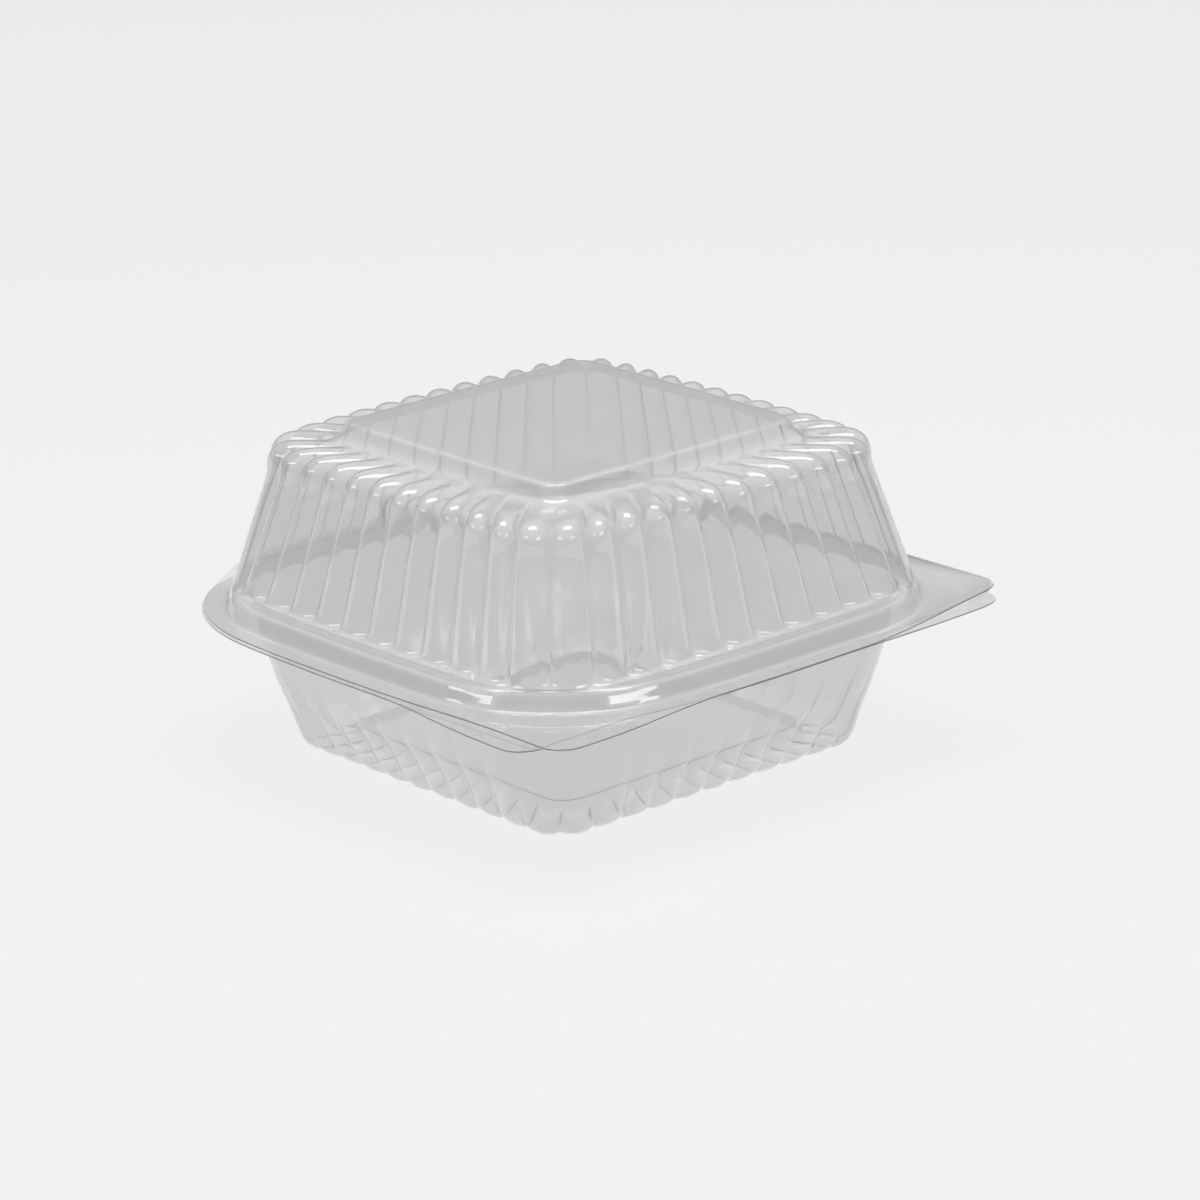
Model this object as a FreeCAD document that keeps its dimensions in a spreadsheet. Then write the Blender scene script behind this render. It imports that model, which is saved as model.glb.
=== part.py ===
import FreeCAD, Part
import math
import os

# Clear hinged square pack: a fluted lid and a fluted tray formed from one thin
# sheet. +X is the side to the right of the opening side, -Y is the opening
# side with the finger tabs, +Y is the hinge side, Z is up from the table.
# The heights and half widths are those of the outside of the formed sheet.

# Driving dimensions in millimetres
SIZES = [
    ("sheet_wall", 0.45),
    ("lid_ribs", 48),
    ("tray_ribs", 44),
    ("side_bow", 2.5),
    ("hinge_side_bow", 0.8),
    ("panel_half", 37.6),
    ("panel_height", 79.5),
    ("panel_rise", 4.9),
    ("crown_half", 47.0),
    ("crown_height", 75.8),
    ("shoulder_half", 53.2),
    ("shoulder_height", 71.4),
    ("lid_foot_half", 61.2),
    ("lid_rib_depth", 1.8),
    ("ledge_half", 65.6),
    ("ledge_height", 40.6),
    ("band_half", 67.9),
    ("lid_flange_height", 36.15),
    ("tray_flange_height", 35.3),
    ("floor_half", 38.6),
    ("floor_height", 4.3),
    ("base_half", 46.2),
    ("base_arch", 0.3),
    ("tray_rib_depth", 1.5),
    ("tray_foot_half", 51.4),
    ("tray_mouth_half", 60.6),
    ("bead_height", 39.75),
    ("bead_half", 64.3),
    ("lid_edge_lift", 2.65),
    ("lid_side_lift", 3.0),
    ("hinge_line", 71.95),
    ("hinge_axis_height", 36.85),
    ("hinge_bead_radius", 0.75),
    ("hinge_length", 136.0),
    ("hinge_foot_width", 0.8),
    ("edge_gap", 0.15),
    ("flange_half", 75.4),
    ("lid_tab_reach", 78.9),
    ("tray_tab_reach", 78.7),
    ("tab_round", 6.0),
    ("tip_half", 72.0),
    ("tip_round", 3.2),
]

# Lid, from the panel's edge outward: roundness of the corners as a share of the
# half width, and bow as a share of the sides' full bow
LID_ROUND = [0.093, 0.109, 0.126, 0.168, 0.190, 0.236, 0.265, 0.285, 0.310, 0.518, 0.526, 0.530, 0.534]
LID_BOW = [0.16, 0.16, 0.24, 0.32, 0.64, 1.0, 1.0, 1.0, 1.0, 1.0, 1.0, 1.0, 1.0]

# Tray, from the floor panel's edge outward, the same two shares
TRAY_ROUND = [0.155, 0.177, 0.197, 0.223, 0.238, 0.262, 0.292, 0.348, 0.388, 0.419, 0.424, 0.513,
              0.517, 0.528, 0.534]
TRAY_BOW = [0.12, 0.12, 0.12, 0.16, 0.24, 0.32, 0.40, 0.76, 0.92, 1.0, 1.0, 1.0, 1.0, 1.0, 1.0]

# Flange sides as shares of the flange's half width, by side, away from the
# finger tabs and the hinge corners
LID_SIDES = {
    "right": [(1.045, -0.770), (1.037, -0.650), (1.021, -0.531), (1.007, -0.398), (1.001, -0.265),
              (1.001, 0.0), (0.996, 0.265), (0.981, 0.557)],
    "left": [(-0.981, 0.557), (-0.996, 0.265), (-1.001, 0.0), (-0.997, -0.292), (-0.976, -0.504),
             (-0.915, -0.676), (-0.817, -0.817), (-0.676, -0.915), (-0.504, -0.976),
             (-0.292, -0.996), (0.0, -1.0), (0.332, -0.995), (0.504, -0.985), (0.637, -0.976),
             (0.769, -0.972)],
}
TRAY_SIDES = {
    "right": [(0.948, -0.862), (0.948, -0.760), (0.953, -0.637), (0.968, -0.531), (0.984, -0.398),
              (0.991, -0.265), (0.993, 0.0), (0.988, 0.265), (0.977, 0.530)],
    "left": [(-0.984, 0.557), (-0.999, 0.265), (-1.004, 0.0), (-1.000, -0.292), (-0.979, -0.504),
             (-0.918, -0.680), (-0.821, -0.821), (-0.680, -0.918), (-0.504, -0.979),
             (-0.292, -0.999), (0.0, -1.004), (0.265, -1.003), (0.398, -1.008), (0.557, -1.027),
             (0.676, -1.037), (0.782, -1.042)],
}

# Rows of the tray that arch up between the corners, so that it stands on its four corners
ARCHED_ROWS = range(1, 7)


def quarter_point(half, radius, fraction):
    """Point on one side of a rounded square, as distance out and distance along.

    The side runs from one corner's diagonal to the next: half a corner arc,
    the straight, and half an arc again, at equal spacing along its length.
    """
    arc = radius * math.pi / 4
    straight = 2 * (half - radius)
    run = fraction * (2 * arc + straight)
    inner = half - radius
    if run < arc:
        turn = run / radius - math.pi / 4
        return inner + radius * math.cos(turn), -inner + radius * math.sin(turn)
    if run < arc + straight:
        return half, run - arc - inner
    turn = (run - arc - straight) / radius
    return inner + radius * math.cos(turn), inner + radius * math.sin(turn)


def ring_point(half, radius, bows, height, fraction):
    """Point of a rounded square ring, at a fraction of its turn.

    The sides bow outward, the hinge side less, and arch upward between corners.
    """
    quarter = int(fraction * 4) % 4
    out, along = quarter_point(half, radius, fraction * 4 - int(fraction * 4))
    turn = quarter * math.pi / 2
    flat_x = out * math.cos(turn) - along * math.sin(turn)
    flat_y = out * math.sin(turn) + along * math.cos(turn)
    bow_x = bows[0]
    bow_y = bows[1] if flat_y > 0 else bows[0]
    corner = half - radius * (1 - math.cos(math.pi / 4))
    arch = bows[2] * max(0.0, 1 - (1.1 * min(abs(flat_x), abs(flat_y)) / corner) ** 2)
    x = flat_x * (1 + bow_x / half * (1 - (flat_y / half) ** 2))
    y = flat_y * (1 + bow_y / half * (1 - (flat_x / half) ** 2))
    return FreeCAD.Vector(x, y, height + arch)


def offset_profile(profile, gap):
    """Move a line of (half, height) points sideways by the gap, corners mitred."""
    moved = []
    for index, (half, height) in enumerate(profile):
        normals = []
        for first, second in ((index - 1, index), (index, index + 1)):
            if first < 0 or second >= len(profile):
                continue
            step_half = profile[second][0] - profile[first][0]
            step_height = profile[second][1] - profile[first][1]
            length = math.hypot(step_half, step_height)
            normals.append((step_height / length, -step_half / length))
        mean_half = sum(n[0] for n in normals) / len(normals)
        mean_height = sum(n[1] for n in normals) / len(normals)
        scale = gap / (mean_half ** 2 + mean_height ** 2)
        moved.append((half + mean_half * scale, height + mean_height * scale))
    return moved


def along_line(points, fraction):
    """Point at a fraction of the length of a line of (x, y) points."""
    lengths = [math.dist(a, b) for a, b in zip(points, points[1:])]
    left = fraction * sum(lengths)
    for start, end, length in zip(points, points[1:], lengths):
        if left <= length:
            share = left / length
            return start[0] + (end[0] - start[0]) * share, start[1] + (end[1] - start[1]) * share
        left -= length
    return points[-1]


def hinge_corner(size, grown):
    """Points round the flange's small corner at the hinge, on the +X side, going to the hinge."""
    edge = size.hinge_line - size.edge_gap
    reach = size.tip_half + grown
    cut = size.tip_round * (1 - math.cos(math.pi / 4))
    return [(reach + 0.2 * size.tip_round, edge - 3.7 * size.tip_round),
            (reach, edge - size.tip_round), (reach - cut, edge - cut)]


def mirrored(points):
    """The same points on the -X side, in the other order."""
    return [(-x, y) for x, y in reversed(points)]


def tab_corner(reach_x, reach_y, round_off):
    """Points round a finger tab's corner, from its opening side to its right side."""
    points = []
    for step in range(5):
        turn = step * math.pi / 8
        out = round_off * (1 - math.sin(turn))
        points.append((reach_x - out, round_off * (1 - math.cos(turn)) - reach_y))
    return points


def side_lines(size, sides, tab, grown):
    """Right line and left line of a flange, from the middle of the tab's corner to the hinge corners."""
    half = size.flange_half
    right = [(x * half, y * half) for x, y in sides["right"]]
    left = [(x * half, y * half) for x, y in sides["left"]]
    corner = hinge_corner(size, grown)
    return tab[2:] + right + corner, mirrored(corner) + left + tab[:3]


def lid_lines(size):
    """Flange lines of the lid: its finger tab reaches out on the +X side."""
    tab = tab_corner(size.lid_tab_reach, 0.972 * size.flange_half, size.tab_round)
    return side_lines(size, LID_SIDES, tab, 0.0)


def tray_lines(size):
    """Flange lines of the tray: its finger tab reaches out on the opening side."""
    tab = tab_corner(0.950 * size.flange_half, size.tray_tab_reach, size.tab_round)
    return side_lines(size, TRAY_SIDES, tab, size.sheet_wall / 2)


def packed_share(share):
    """Share of a line for an even share of its points, closer together at both ends."""
    near = 0.5 * (2 * min(share, 1 - share)) ** 1.4
    return near if share <= 0.5 else 1 - near


def outline_points(right, left, round_cut, count):
    """Points round a flange edge, closer together at the tab's corner and the two by the hinge."""
    quarter = count // 4
    points = []
    for step in range(quarter):
        points.append(along_line(right, packed_share(step / quarter)))
    edge = right[-1][1] + round_cut * (1 - math.cos(math.pi / 4))
    inward = round_cut * math.cos(math.pi / 4)
    hinge_edge = [right[-1], (right[-1][0] - inward, edge), (left[0][0] + inward, edge), left[0]]
    for step in range(quarter):
        points.append(along_line(hinge_edge, packed_share(step / quarter)))
    for step in range(2 * quarter):
        points.append(along_line(left, packed_share(step / (2 * quarter))))
    return points


def edge_lift(size, x, y):
    """Rise of the lid's flange edge above its root, towards the hinge and along the -X side."""
    hinge = size.lid_edge_lift * smoothed((y / size.hinge_line - 1 / 3) / 0.6)
    side = smoothed((-x / size.flange_half - 0.85) / 0.12) * smoothed((y / size.flange_half + 0.75) / 0.3)
    return max(hinge, size.lid_side_lift * side)


def closed_wire(points):
    """Closed wire of arcs, each through three of the points in turn."""
    edges = []
    count = len(points)
    for start in range(0, count, 2):
        first, middle, last = points[start], points[start + 1], points[(start + 2) % count]
        chord = last - first
        rise = (middle - first).cross(chord).Length / chord.Length
        if rise < 0.002:
            edges.append(Part.LineSegment(first, last).toShape())
        else:
            edges.append(Part.Arc(first, middle, last).toShape())
    return Part.Wire(edges)


def fluted_ring(crest, valley, radius, bows, ribs):
    """Closed wire whose ribs swell out to the crest and meet at the valley."""
    points = []
    for step in range(2 * ribs):
        half, height = valley if step % 2 == 0 else crest
        grown = radius + half - crest[0]
        points.append(ring_point(half, grown, bows, height, step / (2 * ribs)))
    return closed_wire(points)


def skin(crests, valleys, radii, bows, ribs):
    """Rings of one face of the sheet, from the middle outward."""
    return [fluted_ring(c, v, r, b, ribs) for c, v, r, b in zip(crests, valleys, radii, bows)]


def formed_sheet(crests, valleys, radii, bows, ribs, edge_top, edge_bottom, wall, top_first):
    """Solid of a formed sheet: one face outward to the edge, the other face back inward."""
    gap = wall if top_first else -wall
    middle = (20.0, crests[0][1])
    reach = (80.0, crests[-1][1])
    far_crests = offset_profile([middle] + crests + [reach], gap)[1:-1]
    far_valleys = offset_profile([middle] + valleys + [reach], gap)[1:-1]
    far_radii = [r + f[0] - c[0] for r, f, c in zip(radii, far_crests, crests)]
    near = skin(crests, valleys, radii, bows, ribs)
    far = skin(far_crests, far_valleys, far_radii, bows, ribs)
    edges = [closed_wire(edge_top), closed_wire(edge_bottom)]
    if not top_first:
        edges.reverse()
    rings = near + edges + far[::-1]
    solid = Part.makeLoft(rings, True, True)
    if solid.Volume < 0:
        solid.reverse()
    return solid


def smoothed(share):
    """Rise from 0 to 1 with level ends."""
    share = max(0.0, min(1.0, share))
    return share * share * (3 - 2 * share)


def profile_lines(size, rows, roundness, bow_shares, arched):
    """Crest line, valley line, corner radii and (bow, hinge side's bow, arch) of a sheet's rings."""
    crests = [(row[0], row[1]) for row in rows]
    valleys = [(row[2], row[3]) for row in rows]
    radii = [share * row[0] for share, row in zip(roundness, rows)]
    bows = []
    for index, share in enumerate(bow_shares):
        bow = share * size.side_bow
        bows.append((bow, min(bow, size.hinge_side_bow), size.base_arch if index in arched else 0.0))
    return crests, valleys, radii, bows


def fill_sheet(document):
    """Spreadsheet of the driving dimensions, one named cell each."""
    sheet = document.addObject("Spreadsheet::Sheet", "Sizes")
    for row, (name, value) in enumerate(SIZES, start=1):
        sheet.set("A%d" % row, name)
        sheet.set("B%d" % row, str(value))
        sheet.setAlias("B%d" % row, name)
    document.recompute()
    return sheet


def lid_shape(size):
    """Fluted lid: raised middle panel, ribbed top and wall, ledge, band and flange."""
    depth = size.lid_rib_depth
    foot = size.lid_foot_half
    panel_foot = size.panel_height - size.panel_rise
    rows = [
        # crest half width and height, valley half width and height
        (size.panel_half, size.panel_height, size.panel_half, size.panel_height),
        (size.panel_half + 0.8, panel_foot + 0.3, size.panel_half + 0.8, panel_foot + 0.3),
        (size.panel_half + 2.0, panel_foot - 0.3, size.panel_half + 2.0, panel_foot - 0.3),
        (size.panel_half + 4.0, panel_foot + 0.8, size.panel_half + 3.7, panel_foot - 0.5),
        (size.crown_half, size.crown_height, size.crown_half - 0.2, size.crown_height - depth + 0.2),
        (size.crown_half + 3.9, size.crown_height - 1.2, size.crown_half + 2.6, size.crown_height - 2.7),
        (size.shoulder_half, size.shoulder_height, size.shoulder_half - depth, size.shoulder_height - 0.5),
        (foot, size.ledge_height + 1.0, foot - depth, size.ledge_height + 1.0),
        (foot + 0.6, size.ledge_height + 0.2, foot - 1.0, size.ledge_height + 0.2),
        (size.ledge_half, size.ledge_height, size.ledge_half, size.ledge_height),
        (size.ledge_half + 0.9, size.ledge_height - 0.8, size.ledge_half + 0.9, size.ledge_height - 0.8),
        (size.band_half, size.lid_flange_height + 0.3, size.band_half, size.lid_flange_height + 0.3),
        (size.band_half + 0.7, size.lid_flange_height, size.band_half + 0.7, size.lid_flange_height),
    ]
    crests, valleys, radii, bows = profile_lines(size, rows, LID_ROUND, LID_BOW, [])
    ribs = int(size.lid_ribs)
    top = []
    bottom = []
    right, left = lid_lines(size)
    for x, y in outline_points(right, left, size.tip_round, 2 * ribs):
        lift = edge_lift(size, x, y)
        top.append(FreeCAD.Vector(x, y, size.lid_flange_height + lift))
        bottom.append(FreeCAD.Vector(x, y, size.lid_flange_height - size.sheet_wall + lift))
    return formed_sheet(crests, valleys, radii, bows, ribs, top, bottom, size.sheet_wall, True)


def tray_shape(size):
    """Fluted tray: raised floor panel, lobed base, wall, bead under the lid's ledge and flange."""
    depth = size.tray_rib_depth
    wall = size.sheet_wall
    under = size.tray_flange_height - wall
    bead_under = size.bead_height - wall
    foot = size.tray_foot_half
    foot_height = 3.1 * depth
    rise = bead_under - foot_height
    reach = size.tray_mouth_half - foot
    rows = [
        # crest half width and height, valley half width and height
        (size.floor_half, size.floor_height, size.floor_half, size.floor_height),
        (size.floor_half + 0.8, depth + 0.4, size.floor_half + 0.8, depth + 0.9),
        (size.floor_half + 2.0, 0.4 * depth, size.floor_half + 2.0, depth + 0.3),
        (size.base_half - 2.4 * depth, 0.0, size.base_half - 2.1 * depth, depth - 0.1),
        (size.base_half, 0.0, size.base_half - 0.2 * depth, depth),
        (foot - 1.2 * depth, 0.9 * depth, foot - 2.0 * depth, 1.9 * depth),
        (foot, foot_height, foot - depth, foot_height + 0.5 * depth),
        (foot + 0.435 * reach, foot_height + 0.400 * rise, foot + 0.390 * reach, foot_height + 0.400 * rise),
        (foot + 0.859 * reach, foot_height + 0.819 * rise, foot + 0.859 * reach, foot_height + 0.819 * rise),
        (size.tray_mouth_half, bead_under - 1.1, size.tray_mouth_half, bead_under - 1.1),
        (size.tray_mouth_half + 0.7, bead_under, size.tray_mouth_half + 0.7, bead_under),
        (size.bead_half, bead_under, size.bead_half, bead_under),
        (size.bead_half + 0.7, bead_under - 0.4, size.bead_half + 0.7, bead_under - 0.4),
        (size.bead_half + 2.2, under + 0.7, size.bead_half + 2.2, under + 0.7),
        (size.bead_half + 3.1, under, size.bead_half + 3.1, under),
    ]
    crests, valleys, radii, bows = profile_lines(size, rows, TRAY_ROUND, TRAY_BOW, ARCHED_ROWS)
    ribs = int(size.tray_ribs)
    top = []
    bottom = []
    right, left = tray_lines(size)
    for x, y in outline_points(right, left, size.tip_round, 2 * ribs):
        top.append(FreeCAD.Vector(x, y, size.tray_flange_height))
        bottom.append(FreeCAD.Vector(x, y, under))
    return formed_sheet(crests, valleys, radii, bows, ribs, top, bottom, wall, False)


def origin_plane(body, role):
    """One of the body's own origin planes."""
    return [plane for plane in body.Origin.OriginFeatures if plane.Role == role][0]


def hinge_sketch(body, name):
    """Empty sketch across the hinge line, its axes along Y and Z."""
    sketch = body.newObject("Sketcher::SketchObject", name)
    sketch.AttachmentSupport = [(origin_plane(body, "YZ_Plane"), "")]
    sketch.MapMode = "FlatFace"
    return sketch


def bind(item, target, expression):
    """Bind one property of an object to the sheet."""
    item.setExpression(target, expression)


def pad_along(body, sketch, name):
    """Pad a hinge sketch over the hinge length, half to each side."""
    pad = body.newObject("PartDesign::Pad", name)
    pad.Profile = sketch
    pad.Midplane = True
    bind(pad, "Length", "Sizes.hinge_length")
    sketch.Visibility = False
    return pad


def hinge_body(document, size):
    """Living hinge: the folded web between the two flanges, as a bead on the fold line."""
    import Sketcher
    body = document.addObject("PartDesign::Body", "HingeBody")
    body.Label = "living_hinge"
    document.recompute()
    round_sketch = hinge_sketch(body, "BeadSketch")
    line, height, radius = size.hinge_line, size.hinge_axis_height, size.hinge_bead_radius
    centre = FreeCAD.Vector(line, height, 0)
    round_sketch.addGeometry(Part.Circle(centre, FreeCAD.Vector(0, 0, 1), radius), False)
    round_sketch.addConstraint(Sketcher.Constraint("Radius", 0, radius))
    round_sketch.addConstraint(Sketcher.Constraint("DistanceX", -1, 1, 0, 3, line))
    round_sketch.addConstraint(Sketcher.Constraint("DistanceY", -1, 1, 0, 3, height))
    bind(round_sketch, "Constraints[0]", "Sizes.hinge_bead_radius")
    bind(round_sketch, "Constraints[1]", "Sizes.hinge_line")
    bind(round_sketch, "Constraints[2]", "Sizes.hinge_axis_height")
    pad_along(body, round_sketch, "BeadPad")
    document.recompute()
    foot_sketch = hinge_sketch(body, "FootSketch")
    edge = line - size.edge_gap
    inner = edge - size.hinge_foot_width
    low, high = size.tray_flange_height, height - radius / 2
    corners = [(inner, low), (edge, low), (edge, high), (inner, high)]
    for index, corner in enumerate(corners):
        following = corners[(index + 1) % 4]
        side = Part.LineSegment(FreeCAD.Vector(*corner, 0), FreeCAD.Vector(*following, 0))
        foot_sketch.addGeometry(side, False)
    for index in range(4):
        foot_sketch.addConstraint(Sketcher.Constraint("Coincident", index, 2, (index + 1) % 4, 1))
    for index, kind in enumerate(("Horizontal", "Vertical", "Horizontal", "Vertical")):
        foot_sketch.addConstraint(Sketcher.Constraint(kind, index))
    placed = [
        ("DistanceX", 0, 2, edge, "Sizes.hinge_line - Sizes.edge_gap"),
        ("DistanceY", 0, 2, low, "Sizes.tray_flange_height"),
        ("DistanceX", 0, 1, inner, "Sizes.hinge_line - Sizes.edge_gap - Sizes.hinge_foot_width"),
        ("DistanceY", 2, 1, high, "Sizes.hinge_axis_height - Sizes.hinge_bead_radius / 2"),
    ]
    for kind, edge, end, value, expression in placed:
        number = foot_sketch.addConstraint(Sketcher.Constraint(kind, -1, 1, edge, end, value))
        bind(foot_sketch, "Constraints[%d]" % number, expression)
    pad_along(body, foot_sketch, "FootPad")
    document.recompute()
    return body


def build():
    """Document of the pack, its sub-parts checked and written as one file each."""
    document = FreeCAD.newDocument("HingedPack")
    size = fill_sheet(document)
    tray = document.addObject("Part::Feature", "TraySheet")
    tray.Label = "tray"
    tray.Shape = tray_shape(size)
    lid = document.addObject("Part::Feature", "LidSheet")
    lid.Label = "lid"
    lid.Shape = lid_shape(size)
    hinge = hinge_body(document, size)
    document.recompute()
    far_left = min(x for x, y in TRAY_SIDES["left"]) * size.flange_half
    hinge_reach = size.hinge_line + size.hinge_bead_radius
    middle_x = (size.lid_tab_reach + far_left) / 2
    middle_y = (hinge_reach - size.tray_tab_reach) / 2
    for item in (tray, lid, hinge):
        item.Placement = FreeCAD.Placement(FreeCAD.Vector(-middle_x, -middle_y, 0), FreeCAD.Rotation())
    document.recompute()
    for item in document.Objects:
        if "Invalid" in item.State or "Error" in item.State:
            raise RuntimeError("%s did not build: %s" % (item.Label, item.State))
    for item in (tray, lid, hinge):
        shape = item.Shape
        if shape.isNull() or not shape.isValid() or len(shape.Solids) != 1:
            raise RuntimeError("%s is not one valid solid" % item.Label)
    os.makedirs("parts", exist_ok=True)
    for item in (tray, lid, hinge):
        item.Shape.exportStep("parts/%s.step" % item.Label)
        box = item.Shape.BoundBox
        print("%-13s volume %9.1f  X %.2f..%.2f  Y %.2f..%.2f  Z %.2f..%.2f  faces %d" % (
            item.Label, item.Shape.Volume, box.XMin, box.XMax, box.YMin, box.YMax,
            box.ZMin, box.ZMax, len(item.Shape.Faces)))


build()
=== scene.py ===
import math

import bpy
import numpy as np
from mathutils import Matrix, Vector


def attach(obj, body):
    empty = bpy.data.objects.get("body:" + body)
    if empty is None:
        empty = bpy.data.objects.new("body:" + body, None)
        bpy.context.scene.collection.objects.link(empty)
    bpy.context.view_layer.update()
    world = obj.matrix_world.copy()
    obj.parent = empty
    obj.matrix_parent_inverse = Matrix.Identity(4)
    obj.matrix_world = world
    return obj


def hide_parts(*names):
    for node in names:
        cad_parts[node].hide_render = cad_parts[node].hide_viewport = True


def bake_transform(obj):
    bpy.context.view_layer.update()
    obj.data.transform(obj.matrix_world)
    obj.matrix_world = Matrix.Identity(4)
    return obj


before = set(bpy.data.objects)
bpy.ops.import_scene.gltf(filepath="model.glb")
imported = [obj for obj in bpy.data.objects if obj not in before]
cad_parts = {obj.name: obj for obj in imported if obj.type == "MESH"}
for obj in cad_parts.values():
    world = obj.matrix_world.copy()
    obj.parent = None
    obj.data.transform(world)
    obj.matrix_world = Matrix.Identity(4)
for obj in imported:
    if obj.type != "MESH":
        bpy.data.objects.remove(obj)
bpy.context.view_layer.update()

# Millimetres to metres
MM = 0.001

# Middle of the ribbed basin in the frame, and the sheet's thickness
BASIN = (-1.6, 3.0)
SHEET = 0.28

# Ribs round the lid and lobes round the tray, samples across each, and the
# rounding of the valleys between them
LID_RIBS = 48
TRAY_LOBES = 44
PER_RIB = 12
LID_VALLEY = 0.05
TRAY_VALLEY = 0.07

# Rows of points for each row of a profile, and rows across a flange
ROW_STEPS = 2
FLANGE_ROWS = 6

# Creases sharper than this many degrees are drawn as edges
CREASE = 55

# Largest outward bow of the hinge side, which is straighter than the others
HINGE_BOW = 0.8

# Heights of the two flanges' upper faces, half their width at the middle of a
# side, and the straight edge that meets the hinge
LID_FLANGE = 36.15
TRAY_FLANGE = 35.3
FLANGE_HALF = 75.4
HINGE_EDGE = 71.2

# Fold line of the living hinge, in the basin's own measure
HINGE_LINE = 71.95
HINGE_HEIGHT = 36.85

# Folded web of the hinge: half its length, half its thickness, the fold's
# radii outward and upward, its middle inside the fold line, and its points
# along and round the fold
WEB_REACH = 65.6
WEB_HALF = 0.10
FOLD_OUT = 1.35
FOLD_RISE = 1.7
FOLD_INSET = 0.85
WEB_ALONG = 61
WEB_ROUND = 17

# Snap dents of the lid's band: place along the side, half length and depth,
# and the foot and top of the band that they fade towards
DENT_PLACE = 44.5
DENT_HALF = 4.4
DENT_DEPTH = 0.25
BAND_FOOT = 36.2
BAND_TOP = 39.6
BAND_FADE = 0.9

# Point that the lamps are turned to, and how many faces of clear sheet a ray
# may cross
LAMP_AIM = (0, 0, 0.04)
BOUNCES = 40

# Lid from the middle of the panel outward: crest half width and height,
# valley half width and height, corner radius and bow of the sides
LID_ROWS = np.array([
    (0.5, 79.42, 0.5, 79.42, 0.1, 0.0),
    (18.0, 79.44, 18.0, 79.44, 1.5, 0.1),
    (35.6, 79.49, 35.6, 79.49, 4.3, 0.3),
    (36.9, 79.46, 36.9, 79.46, 4.7, 0.4),
    (37.5, 79.22, 37.5, 79.22, 4.9, 0.4),
    (37.85, 78.75, 37.85, 78.75, 5.0, 0.4),
    (38.2, 77.90, 38.2, 77.90, 5.1, 0.4),
    (38.7, 76.90, 38.7, 76.90, 5.3, 0.4),
    (39.3, 76.05, 39.3, 76.05, 5.6, 0.5),
    (40.1, 75.50, 40.1, 75.45, 6.0, 0.6),
    (41.2, 75.35, 41.0, 75.05, 6.7, 0.7),
    (42.6, 75.45, 42.3, 74.70, 7.5, 0.9),
    (44.4, 75.68, 44.0, 74.35, 8.2, 1.2),
    (46.8, 75.85, 46.2, 74.00, 9.2, 1.6),
    (49.2, 75.85, 48.0, 73.60, 10.6, 2.0),
    (51.2, 75.25, 49.4, 72.90, 12.0, 2.3),
    (52.8, 73.90, 50.4, 71.80, 13.2, 2.5),
    (53.65, 72.1, 51.0, 70.40, 14.0, 2.5),
    (53.90, 70.2, 51.5, 69.00, 14.3, 2.5),
    (53.85, 68.6, 52.1, 67.60, 14.4, 2.5),
    (54.50, 66.0, 52.9, 65.20, 14.7, 2.5),
    (57.10, 56.8, 55.5, 56.50, 15.8, 2.5),
    (59.70, 47.2, 58.1, 46.80, 16.8, 2.5),
    (60.9, 42.80, 59.4, 42.60, 17.2, 2.5),
    (61.3, 41.40, 60.0, 41.35, 17.6, 2.5),
    (61.8, 40.78, 60.9, 40.80, 18.6, 2.5),
    (62.9, 40.62, 62.7, 40.62, 24.0, 2.5),
    (64.9, 40.60, 64.9, 40.60, 32.0, 2.5),
    (65.8, 40.50, 65.8, 40.50, 34.0, 2.5),
    (66.3, 40.05, 66.3, 40.05, 34.8, 2.5),
    (66.7, 39.20, 66.7, 39.20, 35.1, 2.5),
    (67.4, 37.50, 67.4, 37.50, 35.7, 2.5),
    (67.8, 36.60, 67.8, 36.60, 36.0, 2.5),
    (68.2, 36.22, 68.2, 36.22, 36.3, 2.5),
    (68.9, 36.15, 68.9, 36.15, 36.7, 2.5),
])

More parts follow.
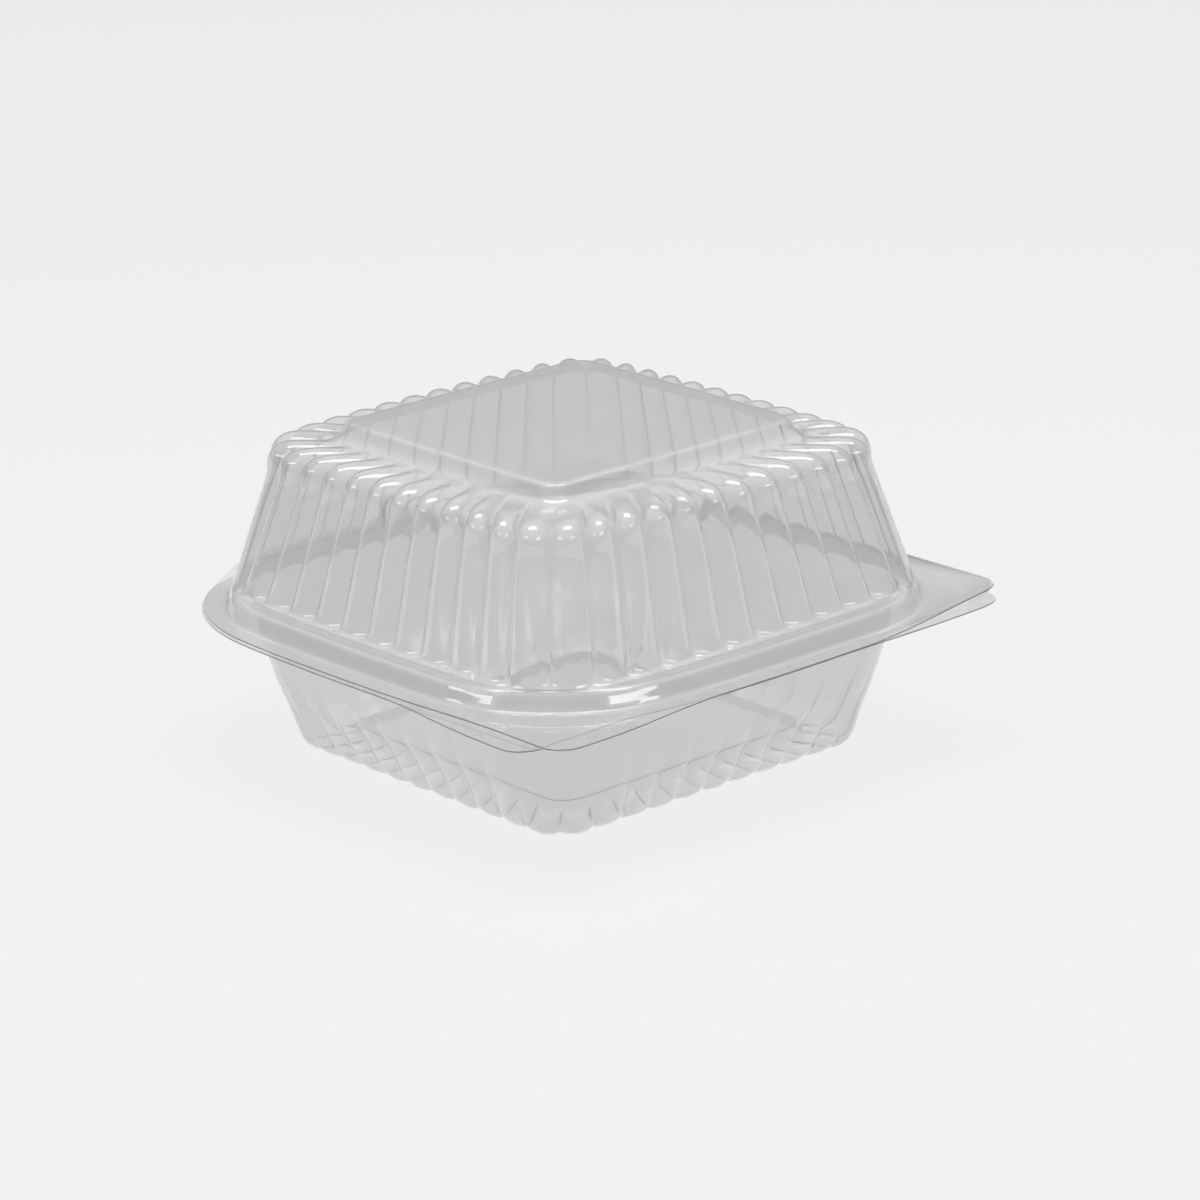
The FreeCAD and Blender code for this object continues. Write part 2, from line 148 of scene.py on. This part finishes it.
# Tray from the middle of the floor panel outward, upper face of the sheet
TRAY_ROWS = np.array([
    (0.5, 4.72, 0.5, 4.72, 0.1, 0.0),
    (18.0, 4.74, 18.0, 4.74, 2.5, 0.1),
    (36.6, 4.75, 36.6, 4.75, 5.2, 0.3),
    (38.3, 4.75, 38.3, 4.75, 5.8, 0.3),
    (38.55, 4.70, 38.55, 4.70, 6.0, 0.3),
    (38.65, 4.45, 38.65, 4.45, 6.1, 0.3),
    (38.75, 3.90, 38.75, 3.90, 6.1, 0.3),
    (39.0, 2.60, 39.0, 3.20, 6.2, 0.3),
    (39.4, 1.50, 39.4, 2.65, 6.4, 0.3),
    (40.1, 0.90, 40.1, 2.35, 6.6, 0.3),
    (41.2, 0.60, 41.2, 2.10, 6.8, 0.3),
    (42.8, 0.38, 42.9, 1.80, 7.0, 0.4),
    (44.8, 0.30, 44.8, 1.35, 7.3, 0.5),
    (46.3, 0.38, 46.0, 0.95, 7.8, 0.6),
    (47.7, 0.95, 47.1, 1.50, 9.2, 0.7),
    (49.1, 2.25, 48.4, 2.85, 11.2, 0.8),
    (50.2, 4.40, 49.4, 5.00, 13.0, 1.0),
    (51.3, 7.40, 50.55, 7.80, 14.8, 1.1),
    (52.9, 12.0, 52.3, 12.25, 16.7, 1.3),
    (54.5, 16.2, 54.2, 16.3, 18.2, 1.5),
    (55.7, 20.2, 55.55, 20.2, 19.3, 1.7),
    (57.4, 26.0, 57.4, 26.0, 21.0, 2.0),
    (59.0, 32.5, 59.0, 32.5, 23.0, 2.3),
    (60.1, 38.2, 60.1, 38.2, 25.2, 2.5),
    (60.5, 39.30, 60.5, 39.30, 25.7, 2.5),
    (61.1, 39.70, 61.1, 39.70, 26.4, 2.5),
    (62.8, 39.75, 62.8, 39.75, 30.0, 2.5),
    (64.3, 39.75, 64.3, 39.75, 32.8, 2.5),
    (65.0, 39.60, 65.0, 39.60, 33.5, 2.5),
    (65.5, 39.10, 65.5, 39.10, 33.9, 2.5),
    (66.1, 37.60, 66.1, 37.60, 34.5, 2.5),
    (66.8, 36.00, 66.8, 36.00, 35.2, 2.5),
    (67.2, 35.45, 67.2, 35.45, 35.6, 2.5),
    (67.9, 35.32, 67.9, 35.32, 36.0, 2.5),
    (68.6, 35.30, 68.6, 35.30, 36.5, 2.5),
])

# Rise of the tray's base between its corners, which are what it stands on
BASE_ARCH = 0.3

# Flange edges: from the finger tab's corner up the right side to the hinge
# corner, and from the other hinge corner down the left side to the tab
LID_RIGHT = [(77.05, -71.45), (78.35, -69.50), (78.80, -67.20), (78.70, -58.0), (78.1, -49.0),
             (76.9, -40.0), (75.8, -30.0), (75.4, -20.0), (75.4, 0.0), (75.0, 20.0), (73.9, 42.0),
             (72.9, 55.0), (72.2, 62.0), (71.2, 66.6), (69.5, 69.5), (67.0, 70.9)]
LID_LEFT = [(-67.0, 70.9), (-69.5, 69.5), (-71.2, 66.6), (-72.2, 62.0), (-73.9, 42.0), (-75.0, 20.0),
            (-75.4, 0.0), (-75.1, -22.0), (-73.5, -38.0), (-68.9, -51.0), (-61.5, -61.5),
            (-51.0, -68.9), (-38.0, -73.5), (-22.0, -75.0), (0.0, -75.3), (25.0, -74.9),
            (38.0, -74.2), (48.0, -73.5), (58.0, -73.2), (72.80, -73.20), (75.10, -72.75),
            (77.05, -71.45)]
TRAY_RIGHT = [(69.83, -76.87), (71.10, -74.90), (71.55, -72.60), (71.4, -65.0), (71.4, -57.0),
              (71.8, -48.0), (73.0, -40.0), (74.1, -30.0), (74.6, -20.0), (74.8, 0.0), (74.4, 20.0),
              (73.6, 40.0), (72.9, 58.0), (72.4, 64.5), (71.5, 67.6), (69.8, 69.8), (67.2, 70.9)]
TRAY_LEFT = [(-67.2, 70.9), (-69.8, 69.8), (-71.5, 67.6), (-72.4, 64.5), (-74.1, 42.0), (-75.2, 20.0),
             (-75.6, 0.0), (-75.3, -22.0), (-73.7, -38.0), (-69.1, -51.3), (-61.8, -61.8),
             (-51.3, -69.1), (-38.0, -73.7), (-22.0, -75.2), (0.0, -75.6), (20.0, -75.5),
             (30.0, -75.9), (42.0, -77.3), (51.0, -78.1), (59.0, -78.5), (65.60, -78.60),
             (67.90, -78.15), (69.83, -76.87)]


def smoothed(share):
    """Rise from 0 to 1 with level ends: three squares less two cubes."""
    share = np.clip(share, 0.0, 1.0)
    return share * share * (3 - 2 * share)


def rounded_rows(rows, steps):
    """Rows of a profile rounded by a quadratic B-spline over the given ones.

    Each new row is the weighted mean of three rows that follow each other,
    with the weights (1-t)^2 / 2, (1 + 2t - 2t^2) / 2 and t^2 / 2.
    """
    padded = np.vstack([rows[:1], rows, rows[-1:]])
    t = (np.arange(steps) / steps)[None, :, None]
    first, second, third = (padded[k:len(padded) - 2 + k, None, :] for k in range(3))
    blend = first * (1 - t) ** 2 / 2 + second * (1 + 2 * t - 2 * t * t) / 2 + third * t * t / 2
    last = (padded[-2] + padded[-1]) / 2
    return np.vstack([blend.reshape(-1, rows.shape[1]), last])


def rib_swell(phase, valley):
    """Height of a rib's section: an arc of a circle, 0 in the valleys and 1 on the crest.

    The valley's share rounds its foot, by the square root of two squares added.
    """
    across = 2 * phase - 1
    radius = 1.18
    base = math.sqrt(radius ** 2 - 1)
    swell = (np.sqrt(radius ** 2 - across ** 2) - base) / (radius - base)
    return np.sqrt(swell ** 2 + valley ** 2) - valley * (1 - swell)


def ring_points(half, radius, bow, turn):
    """Points of a rounded square ring with sides that bow outward.

    turn runs from 0 to 1 round the ring and the points keep one spacing: half a
    corner arc, a straight, and half an arc on each side. Each side is then
    pushed out by the bow times one less the square of the place along it.
    """
    quarter = np.floor(turn * 4)
    arc = radius * math.pi / 4
    straight = 2 * (half - radius)
    inner = half - radius
    run = (turn * 4 - quarter) * (2 * arc + straight)
    angle = np.where(run < arc, run / radius - math.pi / 4,
                     np.where(run < arc + straight, 0.0, (run - arc - straight) / radius))
    centre = np.where(run < arc, -inner, np.where(run < arc + straight, run - arc - inner, inner))
    out = inner + radius * np.cos(angle)
    along = centre + radius * np.sin(angle)
    heading = quarter * math.pi / 2
    flat_x = out * np.cos(heading) - along * np.sin(heading)
    flat_y = out * np.sin(heading) + along * np.cos(heading)
    bow_y = np.where(flat_y > 0, np.minimum(bow, HINGE_BOW), bow)
    x = flat_x * (1 + bow / half * (1 - (flat_y / half) ** 2))
    y = flat_y * (1 + bow_y / half * (1 - (flat_x / half) ** 2))
    return x, y


def formed_rows(rows, ribs, valley):
    """Grid of a ribbed sheet: one row of points per ring, from the middle outward."""
    fine = rounded_rows(rows, ROW_STEPS)
    turn = np.arange(ribs * PER_RIB) / (ribs * PER_RIB)
    swell = rib_swell((turn * ribs) % 1.0, valley)[None, :]
    crest_half, crest_height, valley_half, valley_height, radius, bow = fine.T[:, :, None]
    half = valley_half + (crest_half - valley_half) * swell
    height = valley_height + (crest_height - valley_height) * swell
    corner = radius + np.where(radius > 6, half - crest_half, 0.0)
    x, y = ring_points(half, corner, bow, turn[None, :])
    return np.stack([x, y, height + 0 * x], axis=2)


def along_line(points, shares):
    """Points at shares of the length of a line of (x, y) points, its corners rounded a little."""
    line = np.array(points, float)
    ends = np.vstack([2 * line[0] - line[1], line, 2 * line[-1] - line[-2]])
    t = np.linspace(0, 1, 9)[:-1][None, :, None]
    p0, p1, p2, p3 = (ends[k:len(ends) - 3 + k, None, :] for k in range(4))
    curve = 0.5 * (2 * p1 + (p2 - p0) * t + (2 * p0 - 5 * p1 + 4 * p2 - p3) * t ** 2
                   + (3 * p1 - p0 - 3 * p2 + p3) * t ** 3)
    curve = np.vstack([curve.reshape(-1, 2), line[-1]])
    length = np.concatenate([[0], np.cumsum(np.hypot(*np.diff(curve, axis=0).T))])
    places = shares * length[-1]
    return np.stack([np.interp(places, length, curve[:, k]) for k in range(2)], axis=1)


def packed_shares(count):
    """Even shares drawn towards both ends: half of (2 s)^1.4, and the same from the far end."""
    share = np.arange(count) / count
    near = 0.5 * (2 * np.minimum(share, 1 - share)) ** 1.4
    return np.where(share <= 0.5, near, 1 - near)


def flange_edge(right, left, columns):
    """Points of a flange's edge, one for each column of the grid, closer at the small corners."""
    quarter = columns // 4
    hinge = [right[-1], (right[-1][0] - 2.0, HINGE_EDGE), (left[0][0] + 2.0, HINGE_EDGE), left[0]]
    first = along_line(right, packed_shares(quarter))
    line = np.array(hinge)
    length = np.concatenate([[0], np.cumsum(np.hypot(*np.diff(line, axis=0).T))])
    places = packed_shares(quarter) * length[-1]
    second = np.stack([np.interp(places, length, line[:, k]) for k in range(2)], axis=1)
    third = along_line(left, packed_shares(2 * quarter))
    return np.vstack([first, second, third])


def flange_rows(root, edge, height, lift):
    """Rows of a flange from its root ring to its edge, with the edge raised by the lift.

    The rise grows with the way out from the root, to the power 1.3. The flange
    also waves by 0.05 mm times two sines of the place along its edge.
    """
    share = (np.arange(1, FLANGE_ROWS + 1) / FLANGE_ROWS)[:, None]
    x = root[None, :, 0] * (1 - share) + edge[None, :, 0] * share
    y = root[None, :, 1] * (1 - share) + edge[None, :, 1] * share
    run = np.cumsum(np.hypot(*(edge - np.roll(edge, 1, axis=0)).T))[None, :]
    wave = 0.05 * np.sin(run / 14.3) * np.sin(run / 31.0)
    return np.stack([x, y, height + (lift[None, :] + wave) * share ** 1.3], axis=2)


def base_arch(grid):
    """Rise of the tray's base between its corners, fading up the wall.

    It is one less the square of the place along the side, which is counted so
    that the rise ends a little before each corner.
    """
    size = np.abs(grid[:, :, :2])
    reach = size.max(axis=2)
    along = np.minimum(size[:, :, 0], size[:, :, 1]) / (0.925 * reach.max(axis=1))[:, None]
    ring = smoothed((reach - 38.0) / 1.5) * (1 - smoothed((grid[:, :, 2] - 5.0) / 12.0))
    return BASE_ARCH * np.clip(1 - (1.1 * along) ** 2, 0, None) * ring


def snap_dents(grid):
    """Lid band with its snap dents: a small flat-topped swell near each end of each side.

    Each swell pushes the band out by a bell curve to the sixth power of the
    place along the side, over the height of the band only.
    """
    size = np.abs(grid[:, :, :2])
    along, reach = size.min(axis=2), size.max(axis=2)
    swell = DENT_DEPTH * np.exp(-((along - DENT_PLACE) / DENT_HALF) ** 6)
    height = grid[:, :, 2]
    rising = smoothed((height - BAND_FOOT) / BAND_FADE)
    band = rising * (1 - smoothed((height - BAND_TOP) / BAND_FADE)) * (reach > 50.0)
    share = 1 + swell * band / reach
    return np.stack([grid[:, :, 0] * share, grid[:, :, 1] * share, height], axis=2)


def lid_edge_lift(edge):
    """Rise of the lid's flange edge: 2.65 mm towards the hinge and 3 mm along the -X side."""
    x, y = edge.T
    hinge = 2.65 * smoothed((y / HINGE_LINE - 1 / 3) / 0.6)
    side = 3.0 * smoothed((-x / FLANGE_HALF - 0.85) / 0.12) * smoothed((y / FLANGE_HALF + 0.75) / 0.3)
    return np.maximum(hinge, side)


def tray_edge_lift(edge):
    """Rise of the tray's flange edge: 0.42 mm on the +X side, where it lies against the lid's."""
    x, y = edge.T
    middle = smoothed((y + 60.0) / 15.0) * (1 - smoothed((y - 15.0) / 35.0))
    return 0.42 * smoothed((x / FLANGE_HALF - 0.85) / 0.10) * middle


def sheet_mesh(name, grid):
    """Closed mesh of a formed sheet: the grid, and the same grid moved in by the thickness.

    The grid's first row closes on a middle point on both faces, and the two
    last rows are joined by the cut edge, which takes the second material.
    Normals are the cross product of the differences along the rows and across
    them.
    """
    around = np.roll(grid, -1, axis=1) - np.roll(grid, 1, axis=1)
    out = np.gradient(grid, axis=0)
    normal = np.cross(out, around)
    normal /= np.linalg.norm(normal, axis=2, keepdims=True)
    under = grid - normal * SHEET
    rows, columns, _ = grid.shape
    middle = np.array([[0, 0, grid[0, :, 2].mean()], [0, 0, under[0, :, 2].mean()]])
    points = np.vstack([grid.reshape(-1, 3), under.reshape(-1, 3), middle])
    points[:, 0] += BASIN[0]
    points[:, 1] += BASIN[1]
    index = np.arange(rows * columns).reshape(rows, columns)
    after = np.roll(index, -1, axis=1)
    half = rows * columns
    top = np.stack([index[:-1], index[1:], after[1:], after[:-1]], axis=2).reshape(-1, 4)
    below = top[:, ::-1] + half
    rim = np.stack([index[-1], index[-1] + half, after[-1] + half, after[-1]], axis=1)
    fans = np.stack([index[0], after[0], np.full(columns, 2 * half)], axis=1)
    low_fans = np.stack([after[0] + half, index[0] + half, np.full(columns, 2 * half + 1)], axis=1)
    mesh = bpy.data.meshes.new(name)
    faces = [*top.tolist(), *below.tolist(), *rim.tolist(), *fans.tolist(), *low_fans.tolist()]
    mesh.from_pydata((points * MM).tolist(), [], faces)
    mesh.update()
    mesh.shade_smooth()
    mesh.set_sharp_from_angle(angle=math.radians(CREASE))
    slots = np.zeros(len(faces), np.int32)
    # Rim faces take the second material, whose dark grey is painted shade along the cut edge
    slots[2 * len(top):2 * len(top) + columns] = 1
    mesh.polygons.foreach_set("material_index", slots)
    return mesh


def add_piece(name, mesh, *materials):
    """Object at the origin that carries a finished mesh and its materials."""
    piece = bpy.data.objects.new(name, mesh)
    bpy.context.scene.collection.objects.link(piece)
    for material in materials:
        piece.data.materials.append(material)
    return piece


def linear(code):
    """Linear colour of an sRGB hex code."""
    values = [int(code[k:k + 2], 16) / 255 for k in (1, 3, 5)]
    return [v / 12.92 if v <= 0.04045 else ((v + 0.055) / 1.055) ** 2.4 for v in values] + [1.0]


def add_node(tree, kind, settings=None, links=None):
    """Node of a kind, with its sockets or fields set and its inputs linked."""
    node = tree.nodes.new(kind)
    for key, value in (settings or {}).items():
        if isinstance(key, int) or key in node.inputs:
            node.inputs[key].default_value = value
        else:
            setattr(node, key, value)
    for key, socket in (links or {}).items():
        tree.links.new(socket, node.inputs[key])
    return node


def clear_formed_sheet(name, tint, roughness, clearness, bumps):
    """Formed PET sheet: lets lamps through in the shadow, and shows its room by refraction.

    clearness is the share that goes through; the rest is the soft grey veil
    of scuffed sheet. bumps is how far the drawn sheet ripples, in metres.
    """
    material = bpy.data.materials.new(name)
    material.use_nodes = True
    tree = material.node_tree
    tree.nodes.clear()
    place = add_node(tree, "ShaderNodeTexCoord")
    waves = add_node(tree, "ShaderNodeTexNoise", {"Scale": 90.0, "Detail": 2.0},
                     {"Vector": place.outputs["Object"]})
    bump = add_node(tree, "ShaderNodeBump", {"Strength": 0.05, "Distance": bumps},
                    {"Height": waves.outputs["Fac"]})
    sheet = add_node(tree, "ShaderNodeBsdfPrincipled",
                     {"Base Color": linear(tint), "Roughness": roughness, "IOR": 1.57,
                      "Transmission Weight": clearness}, {"Normal": bump.outputs["Normal"]})
    passing = add_node(tree, "ShaderNodeBsdfTransparent", {"Color": linear("#f0f0f0")})
    path = add_node(tree, "ShaderNodeLightPath")
    mix = add_node(tree, "ShaderNodeMixShader", None,
                   {0: path.outputs["Is Shadow Ray"], 1: sheet.outputs["BSDF"], 2: passing.outputs["BSDF"]})
    add_node(tree, "ShaderNodeOutputMaterial", None, {"Surface": mix.outputs["Shader"]})
    return material


def seen_background(tree):
    """Socket that is 1 where a ray of the camera, a reflection or a refraction meets the stage."""
    path = add_node(tree, "ShaderNodeLightPath")
    bent = add_node(tree, "ShaderNodeMath", {"operation": "MAXIMUM"},
                    {0: path.outputs["Is Glossy Ray"], 1: path.outputs["Is Transmission Ray"]})
    seen = add_node(tree, "ShaderNodeMath", {"operation": "MAXIMUM"},
                    {0: path.outputs["Is Camera Ray"], 1: bent.outputs[0]})
    return seen.outputs[0]


def pale_floor():
    """Matt pale card: an even light grey that keeps the pack's faint shadow."""
    material = bpy.data.materials.new("pale_matt_card")
    material.use_nodes = True
    tree = material.node_tree
    card = tree.nodes["Principled BSDF"]
    card.inputs["Base Color"].default_value = linear("#e8e8e8")
    card.inputs["Roughness"].default_value = 0.9
    card.inputs["Specular IOR Level"].default_value = 0.0
    share = add_node(tree, "ShaderNodeMath", {"operation": "MULTIPLY", 1: 0.75}, {0: seen_background(tree)})
    glow = add_node(tree, "ShaderNodeEmission", {"Color": linear("#f7f7f7"), "Strength": 1.0})
    mix = add_node(tree, "ShaderNodeMixShader", None,
                   {0: share.outputs[0], 1: card.outputs[0], 2: glow.outputs[0]})
    tree.links.new(mix.outputs[0], tree.nodes["Material Output"].inputs["Surface"])
    return material


def build_lid(*materials):
    """Ribbed lid with its raised panel, ledge, band and flange."""
    ribbed = snap_dents(formed_rows(LID_ROWS, LID_RIBS, LID_VALLEY))
    edge = flange_edge(LID_RIGHT, LID_LEFT, ribbed.shape[1])
    flange = flange_rows(ribbed[-1], edge, LID_FLANGE, lid_edge_lift(edge))
    return add_piece("clear_lid", sheet_mesh("clear_lid", np.vstack([ribbed, flange])), *materials)


def build_tray(*materials):
    """Lobed tray with its floor panel, wall, bead and flange."""
    lobed = formed_rows(TRAY_ROWS, TRAY_LOBES, TRAY_VALLEY)
    lobed[:, :, 2] += base_arch(lobed)
    edge = flange_edge(TRAY_RIGHT, TRAY_LEFT, lobed.shape[1])
    flange = flange_rows(lobed[-1], edge, TRAY_FLANGE, tray_edge_lift(edge))
    return add_piece("clear_tray", sheet_mesh("clear_tray", np.vstack([lobed, flange])), *materials)


def build_hinge(material):
    """Folded web of the living hinge, from the tray's flange edge round to the lid's.

    Its section is a half ellipse about the fold line; the two faces are the
    section moved in and out by half the web's thickness.
    """
    turn = np.linspace(-math.pi / 2, math.pi / 2, WEB_ROUND)
    places = np.linspace(-WEB_REACH, WEB_REACH, WEB_ALONG)
    size = (WEB_ALONG, WEB_ROUND)
    skins = []
    for side in (WEB_HALF, -WEB_HALF):
        y = HINGE_LINE - FOLD_INSET + (FOLD_OUT + side) * np.cos(turn)
        z = HINGE_HEIGHT + (FOLD_RISE + side) * np.sin(turn)
        skins.append(np.stack([np.broadcast_to(places[:, None] + BASIN[0], size),
                               np.broadcast_to(y + BASIN[1], size),
                               np.broadcast_to(z, size)], axis=2))
    points = np.vstack([skin.reshape(-1, 3) for skin in skins]) * MM
    count = WEB_ALONG * WEB_ROUND
    index = np.arange(count).reshape(size)
    outer = np.stack([index[:-1, :-1], index[:-1, 1:], index[1:, 1:], index[1:, :-1]], axis=2)
    outer = outer.reshape(-1, 4)
    edge = np.concatenate([index[:, 0], index[-1, 1:], index[::-1, -1][1:], index[0, ::-1][1:-1]])
    ahead = np.roll(edge, -1)
    rim = np.stack([edge, ahead, ahead + count, edge + count], axis=1)
    mesh = bpy.data.meshes.new("hinge_web")
    faces = [*outer.tolist(), *(outer[:, ::-1] + count).tolist(), *rim.tolist()]
    mesh.from_pydata(points.tolist(), [], faces)
    mesh.update()
    mesh.shade_smooth()
    mesh.set_sharp_from_angle(angle=math.radians(CREASE))
    return add_piece("hinge_web", mesh, material)


def add_floor():
    """Wide pale floor under the pack."""
    mesh = bpy.data.meshes.new("floor")
    reach = 6.0
    mesh.from_pydata([(-reach, -reach, 0), (reach, -reach, 0), (reach, reach, 0), (-reach, reach, 0)],
                     [], [(0, 1, 2, 3)])
    floor = add_piece("floor", mesh, pale_floor())
    floor.location.z = -0.0002


def add_lamp(name, place, across, width, depth, power):
    """Soft box at a place, turned to the pack, with its width along the across heading."""
    lamp = bpy.data.lights.new(name, "AREA")
    lamp.shape = "RECTANGLE"
    lamp.size = width
    lamp.size_y = depth
    lamp.energy = power
    back = (Vector(place) - Vector(LAMP_AIM)).normalized()
    across = Vector(across)
    across = (across - back * across.dot(back)).normalized()
    turned = Matrix((across, back.cross(across), back)).transposed().to_4x4()
    piece = bpy.data.objects.new(name, lamp)
    bpy.context.scene.collection.objects.link(piece)
    piece.matrix_world = Matrix.Translation(Vector(place)) @ turned


def set_world():
    """Soft studio: grey walls low down and a pale ceiling, by the height of the ray's heading.

    The share of ceiling rises smoothly from a heading height of 0.2 to 0.75.
    """
    world = bpy.data.worlds.new("soft_studio")
    bpy.context.scene.world = world
    world.use_nodes = True
    tree = world.node_tree
    tree.nodes.clear()
    heading = add_node(tree, "ShaderNodeTexCoord")
    parts = add_node(tree, "ShaderNodeSeparateXYZ", None, {0: heading.outputs["Generated"]})
    height = add_node(tree, "ShaderNodeMapRange",
                      {"interpolation_type": "SMOOTHSTEP", "From Min": 0.2, "From Max": 0.75},
                      {"Value": parts.outputs["Z"]})
    wall = add_node(tree, "ShaderNodeBackground", {"Color": linear("#a2a2a2"), "Strength": 1.0})
    ceiling = add_node(tree, "ShaderNodeBackground", {"Color": linear("#ffffff"), "Strength": 1.0})
    pale = add_node(tree, "ShaderNodeMixShader", None,
                    {0: height.outputs[0], 1: wall.outputs[0], 2: ceiling.outputs[0]})
    room = add_node(tree, "ShaderNodeBackground", {"Color": linear("#b2b2b2"), "Strength": 1.0})
    mix = add_node(tree, "ShaderNodeMixShader", None,
                   {0: seen_background(tree), 1: room.outputs[0], 2: pale.outputs[0]})
    add_node(tree, "ShaderNodeOutputWorld", None, {"Surface": mix.outputs[0]})


def set_camera():
    """Camera at the photograph's angle: long lens, a little roll, from the front corner."""
    azimuth, elevation, roll = math.radians(49.10), math.radians(18.37), math.radians(-1.566)
    distance = 1204.4
    focal = 5132.9
    target = Vector((BASIN[0], BASIN[1], 34.5))
    back = Vector((math.sin(azimuth) * math.cos(elevation), -math.cos(azimuth) * math.cos(elevation),
                   math.sin(elevation)))
    data = bpy.data.cameras.new("camera")
    data.sensor_width = 36.0
    data.lens = focal / 1200 * 36.0
    data.clip_start = 0.01
    data.clip_end = 50.0
    camera = bpy.data.objects.new("camera", data)
    ahead = -back
    right = ahead.cross(Vector((0, 0, 1))).normalized()
    up = right.cross(ahead)
    shift = Vector((0.00521, 0.0004, 0))
    ahead = (ahead + right * shift.x + up * shift.y).normalized()
    right = (right - ahead * right.dot(ahead)).normalized()
    up = right.cross(ahead)
    turned_right = right * math.cos(roll) + up * math.sin(roll)
    turned_up = up * math.cos(roll) - right * math.sin(roll)
    facing = Matrix((turned_right, turned_up, -ahead)).transposed().to_4x4()
    camera.matrix_world = Matrix.Translation((target + back * distance) * MM) @ facing
    bpy.context.scene.collection.objects.link(camera)
    bpy.context.scene.camera = camera


def main():
    """Pack, stage, light and camera."""
    scene = bpy.context.scene
    scene.view_settings.view_transform = "Standard"
    scene.cycles.max_bounces = BOUNCES
    scene.cycles.transmission_bounces = BOUNCES
    scene.cycles.transparent_max_bounces = BOUNCES
    # Clear sheet, whose soft grey veil tells it from the air around it
    clear = clear_formed_sheet("clear_thermoformed_pet", "#ededed", 0.04, 0.85, 0.0004)
    # Cut edge of the sheet, rougher as cut and tinted dark grey: painted shade that draws a thin darker
    # line round both flanges
    cut = clear_formed_sheet("cut_edge_painted_shade", "#8a8a8a", 0.45, 0.30, 0.0001)
    # Fold of the living hinge, dulled where the sheet is creased
    fold = clear_formed_sheet("creased_pet_fold", "#e4e4e4", 0.30, 0.75, 0.0004)
    lid = build_lid(clear, cut)
    tray = build_tray(clear, cut)
    hinge = build_hinge(fold)
    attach(lid, "lid")
    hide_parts("lid")
    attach(tray, "tray")
    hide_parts("tray")
    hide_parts("living_hinge")
    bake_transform(hinge)
    add_floor()
    set_world()
    add_lamp("top_box", (0.03, 0.00, 1.20), (0.655, 0.755, 0.0), 1.10, 0.42, 6.8)
    add_lamp("right_strip", (1.15, 0.10, 0.60), (0.0, 1.0, 0.0), 0.80, 0.16, 1.6)
    add_lamp("left_strip", (-0.25, -1.15, 0.60), (1.0, 0.0, 0.0), 0.80, 0.16, 1.6)
    set_camera()


main()
